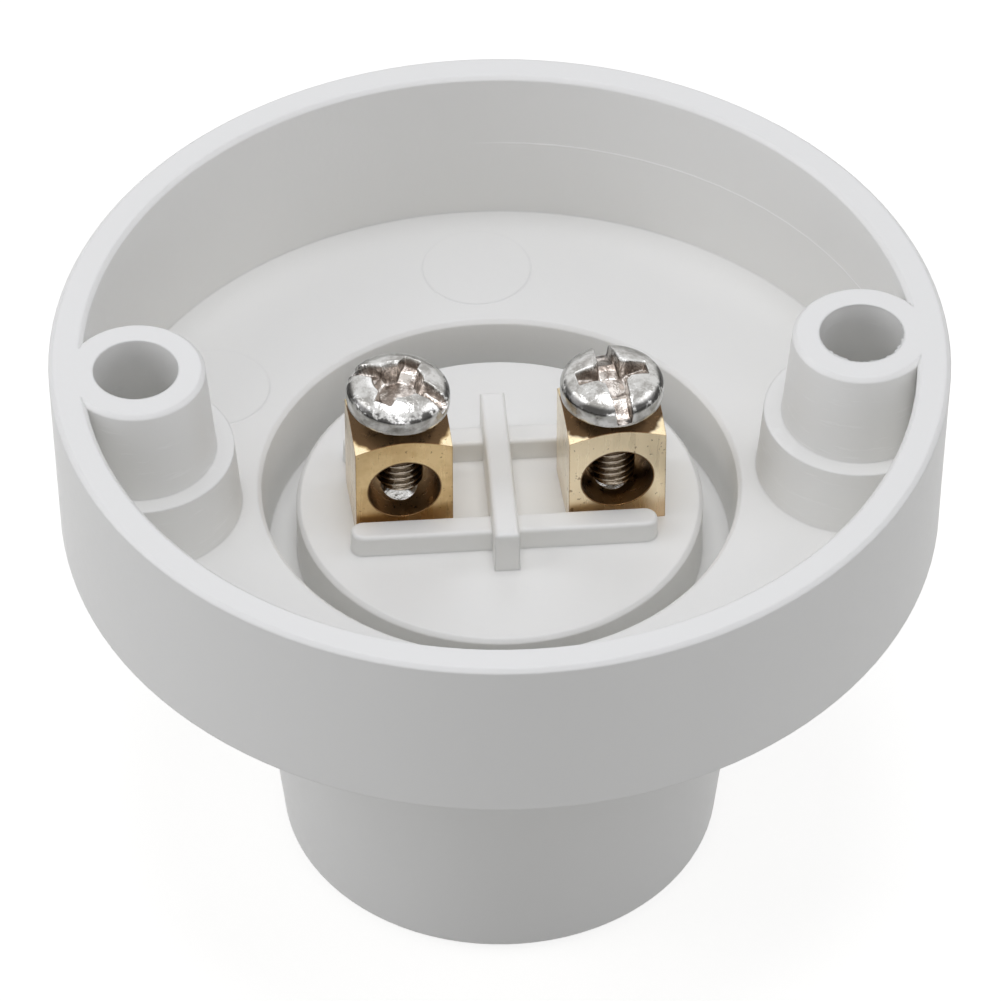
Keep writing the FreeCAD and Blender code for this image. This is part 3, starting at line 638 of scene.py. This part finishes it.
def sprung_leaf():
    """The centre contact's leaf, cut across in steps from its screw to its button; stands for the stiff CAD leaf.
    """
    low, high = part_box("contact_leaf")
    tip, knee, steps = -low.x, high.x - LEAF_END_LENGTH, 16
    shape = bmesh.new()
    shape.from_mesh(nodes["contact_leaf"].data)
    bmesh.ops.remove_doubles(shape, verts=shape.verts[:], dist=0.001 * MM)
    for step in range(steps + 1):
        everything = shape.verts[:] + shape.edges[:] + shape.faces[:]
        place = (tip + (knee - tip) * step / steps, 0, 0)
        bmesh.ops.bisect_plane(shape, geom=everything, dist=0.0001 * MM, plane_co=place, plane_no=(1, 0, 0))
    mesh = bpy.data.meshes.new("sprung_leaf")
    shape.to_mesh(mesh)
    shape.free()
    mesh.polygons.foreach_set("use_smooth", [True] * len(mesh.polygons))
    mesh.set_sharp_from_angle(angle=math.radians(30))
    leaf = bpy.data.objects.new("sprung_leaf", mesh)
    bpy.context.collection.objects.link(leaf)
    mesh.materials.clear()
    mesh.materials.append(finishes["spring_bronze"])
    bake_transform(leaf)
    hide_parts("contact_leaf")
    return leaf


def dress(name, finish):
    """Give a CAD node its finish in place of its plain CAD material."""
    piece = nodes[name]
    piece.data.materials.clear()
    piece.data.materials.append(finishes[finish])


finishes = {
    "white_plastic": white_plastic(),
    "turned_brass": turned_brass(),
    "plated_steel": bright_nickel(),
    "shell_metal": rolled_metal("shell_metal", (0.72, 0.71, 0.69), (0.60, 0.58, 0.55), 0.22, 0.36),
    "spring_bronze": rolled_metal("spring_bronze", (0.72, 0.46, 0.27), (0.58, 0.36, 0.2), 0.24, 0.38),
}
for piece in frame["record"]["subparts"]:
    dress(piece["node"], piece["material_slot"])
clamp_screw("clamp_screw_left", "left_clamp", -28.6, 1.8 * MM, 2.25 * MM, 3.0)
clamp_screw("clamp_screw_right", "right_clamp", -80.1, 2.35 * MM, 1.7 * MM, 0.0)
threaded_shell()
sprung_leaf()
moulding_flash()


# Floor, light and camera

def seen_directly(tree):
    """1 on camera, glossy and transmission rays, and 0 on the rays that light the object."""
    paths = tree.nodes.new("ShaderNodeLightPath")
    share = paths.outputs["Is Camera Ray"]
    for ray in ("Is Glossy Ray", "Is Transmission Ray"):
        either = tree.nodes.new("ShaderNodeMath")
        either.operation = "MAXIMUM"
        tree.links.new(share, either.inputs[0])
        tree.links.new(paths.outputs[ray], either.inputs[1])
        share = either.outputs[0]
    return share


def direction(azimuth, elevation):
    """Unit vector that points away from the object, at degrees round from its front and up."""
    around, up = math.radians(azimuth), math.radians(elevation)
    return Vector((math.sin(around) * math.cos(up), -math.cos(around) * math.cos(up), math.sin(up)))


def pale_floor():
    """A pale floor that shows white to the camera and in reflections, and still takes the shadow."""
    corners = [(x * FLOOR_SIZE, y * FLOOR_SIZE, 0) for x, y in ((-1, -1), (1, -1), (1, 1), (-1, 1))]
    floor = make_object("floor", corners, [(0, 1, 2, 3)])
    floor.location.z = -0.02 * MM
    shader = Shader("floor")
    shader.set(Base_Color=(0.33, 0.325, 0.305, 1.0), Roughness=0.9)
    tree = shader.tree
    glow = shader.add("ShaderNodeEmission")
    glow.inputs["Strength"].default_value = FLOOR_GLOW
    both = shader.add("ShaderNodeAddShader")
    tree.links.new(shader.surface.outputs[0], both.inputs[0])
    tree.links.new(glow.outputs[0], both.inputs[1])
    pick = shader.add("ShaderNodeMixShader")
    tree.links.new(seen_directly(tree), pick.inputs[0])
    tree.links.new(shader.surface.outputs[0], pick.inputs[1])
    tree.links.new(both.outputs[0], pick.inputs[2])
    tree.links.new(pick.outputs[0], tree.nodes["Material Output"].inputs["Surface"])
    floor.data.materials.append(shader.material)


def studio():
    """A world that lights the object softly and shows white round it."""
    world = bpy.data.worlds.new("studio")
    bpy.context.scene.world = world
    world.use_nodes = True
    tree = world.node_tree
    tree.nodes.clear()
    light, seen = tree.nodes.new("ShaderNodeBackground"), tree.nodes.new("ShaderNodeBackground")
    pick, output = tree.nodes.new("ShaderNodeMixShader"), tree.nodes.new("ShaderNodeOutputWorld")
    light.inputs["Color"].default_value = WORLD_COLOUR
    light.inputs["Strength"].default_value = WORLD_STRENGTH
    seen.inputs["Color"].default_value = (1, 1, 1, 1)
    seen.inputs["Strength"].default_value = 1.0
    tree.links.new(seen_directly(tree), pick.inputs[0])
    tree.links.new(light.outputs[0], pick.inputs[1])
    tree.links.new(seen.outputs[0], pick.inputs[2])
    tree.links.new(pick.outputs[0], output.inputs["Surface"])


def area_lamp(name, azimuth, elevation, power):
    """A round soft lamp that points at the middle of the view."""
    lamp = bpy.data.lights.new(name, "AREA")
    lamp.shape, lamp.size, lamp.energy, lamp.color = "DISK", LAMP_SIZE, power, LAMP_COLOUR
    made = bpy.data.objects.new(name, lamp)
    bpy.context.collection.objects.link(made)
    made.location = direction(azimuth, elevation) * LAMP_DISTANCE
    made.rotation_euler = (TARGET - made.location).to_track_quat("-Z", "Y").to_euler()


def photograph_camera():
    """A camera at the photograph's viewing angle."""
    back = direction(CAMERA_AZIMUTH, CAMERA_ELEVATION)
    lens = bpy.data.cameras.new("camera")
    lens.lens, lens.sensor_width = LENS, SENSOR
    lens.clip_start, lens.clip_end = 0.05, 20
    lens.shift_x = 0.0008
    camera = bpy.data.objects.new("camera", lens)
    bpy.context.collection.objects.link(camera)
    camera.location = TARGET + back * CAMERA_DISTANCE
    camera.rotation_euler = (-back).to_track_quat("-Z", "Y").to_euler()
    bpy.context.scene.camera = camera


pale_floor()
studio()
for lamp in LAMPS:
    area_lamp(*lamp)
photograph_camera()
bpy.context.scene.view_settings.view_transform = "Standard"
